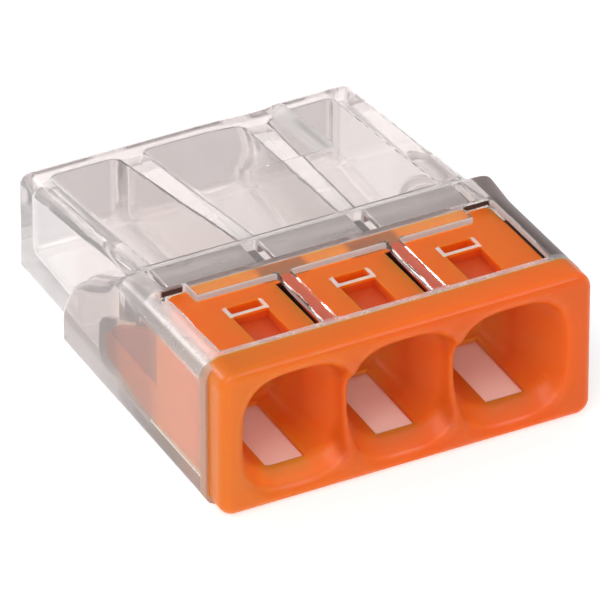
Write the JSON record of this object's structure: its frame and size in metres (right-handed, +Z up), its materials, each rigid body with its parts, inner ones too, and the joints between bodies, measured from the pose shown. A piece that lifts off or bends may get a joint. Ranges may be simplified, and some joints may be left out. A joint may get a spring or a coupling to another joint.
{
  "type": "push-in wire connector",
  "caption": "Clear push-in junction-box connector with an orange entry cover; sprung tongues clamp solid wires on a shared busbar.",
  "frame": {"origin": "centre of the outer box's footprint, on the standing face", "axes": "+X across the poles, to the right when looking into the wire entries from behind them towards +Y; -Y is the wire-entry side; +Z up through the window"},
  "size_m": [0.0142, 0.0166, 0.0057],
  "materials": {
    "clear_polycarbonate": "clear moulded polycarbonate, glossy",
    "orange_polycarbonate": "satin moulded polycarbonate, slightly translucent",
    "tinned_copper": "matt tin plating on copper",
    "spring_steel": "rolled stainless spring strip"
  },
  "bodies": {
    "root": {"housing": "clear_polycarbonate", "entry_cover": "orange_polycarbonate", "busbar": "tinned_copper", "spring_seat_1": "spring_steel", "spring_seat_2": "spring_steel", "spring_seat_3": "spring_steel"},
    "clamp_1": {"spring_tongue_1": "spring_steel"},
    "clamp_2": {"spring_tongue_2": "spring_steel"},
    "clamp_3": {"spring_tongue_3": "spring_steel"}
  },
  "joints": [
    {"name": "clamp_open_1", "type": "hinge", "parent": "root", "child": "clamp_1", "pos_m": [-0.004, -0.00186, 0.00427], "axis": [1, 0, 0], "range_deg": [0, 30], "stiffness_Nm_per_rad": 0.02},
    {"name": "clamp_open_2", "type": "hinge", "parent": "root", "child": "clamp_2", "pos_m": [0, -0.00186, 0.00427], "axis": [1, 0, 0], "range_deg": [0, 30], "stiffness_Nm_per_rad": 0.02},
    {"name": "clamp_open_3", "type": "hinge", "parent": "root", "child": "clamp_3", "pos_m": [0.004, -0.00186, 0.00427], "axis": [1, 0, 0], "range_deg": [0, 30], "stiffness_Nm_per_rad": 0.02}
  ]
}
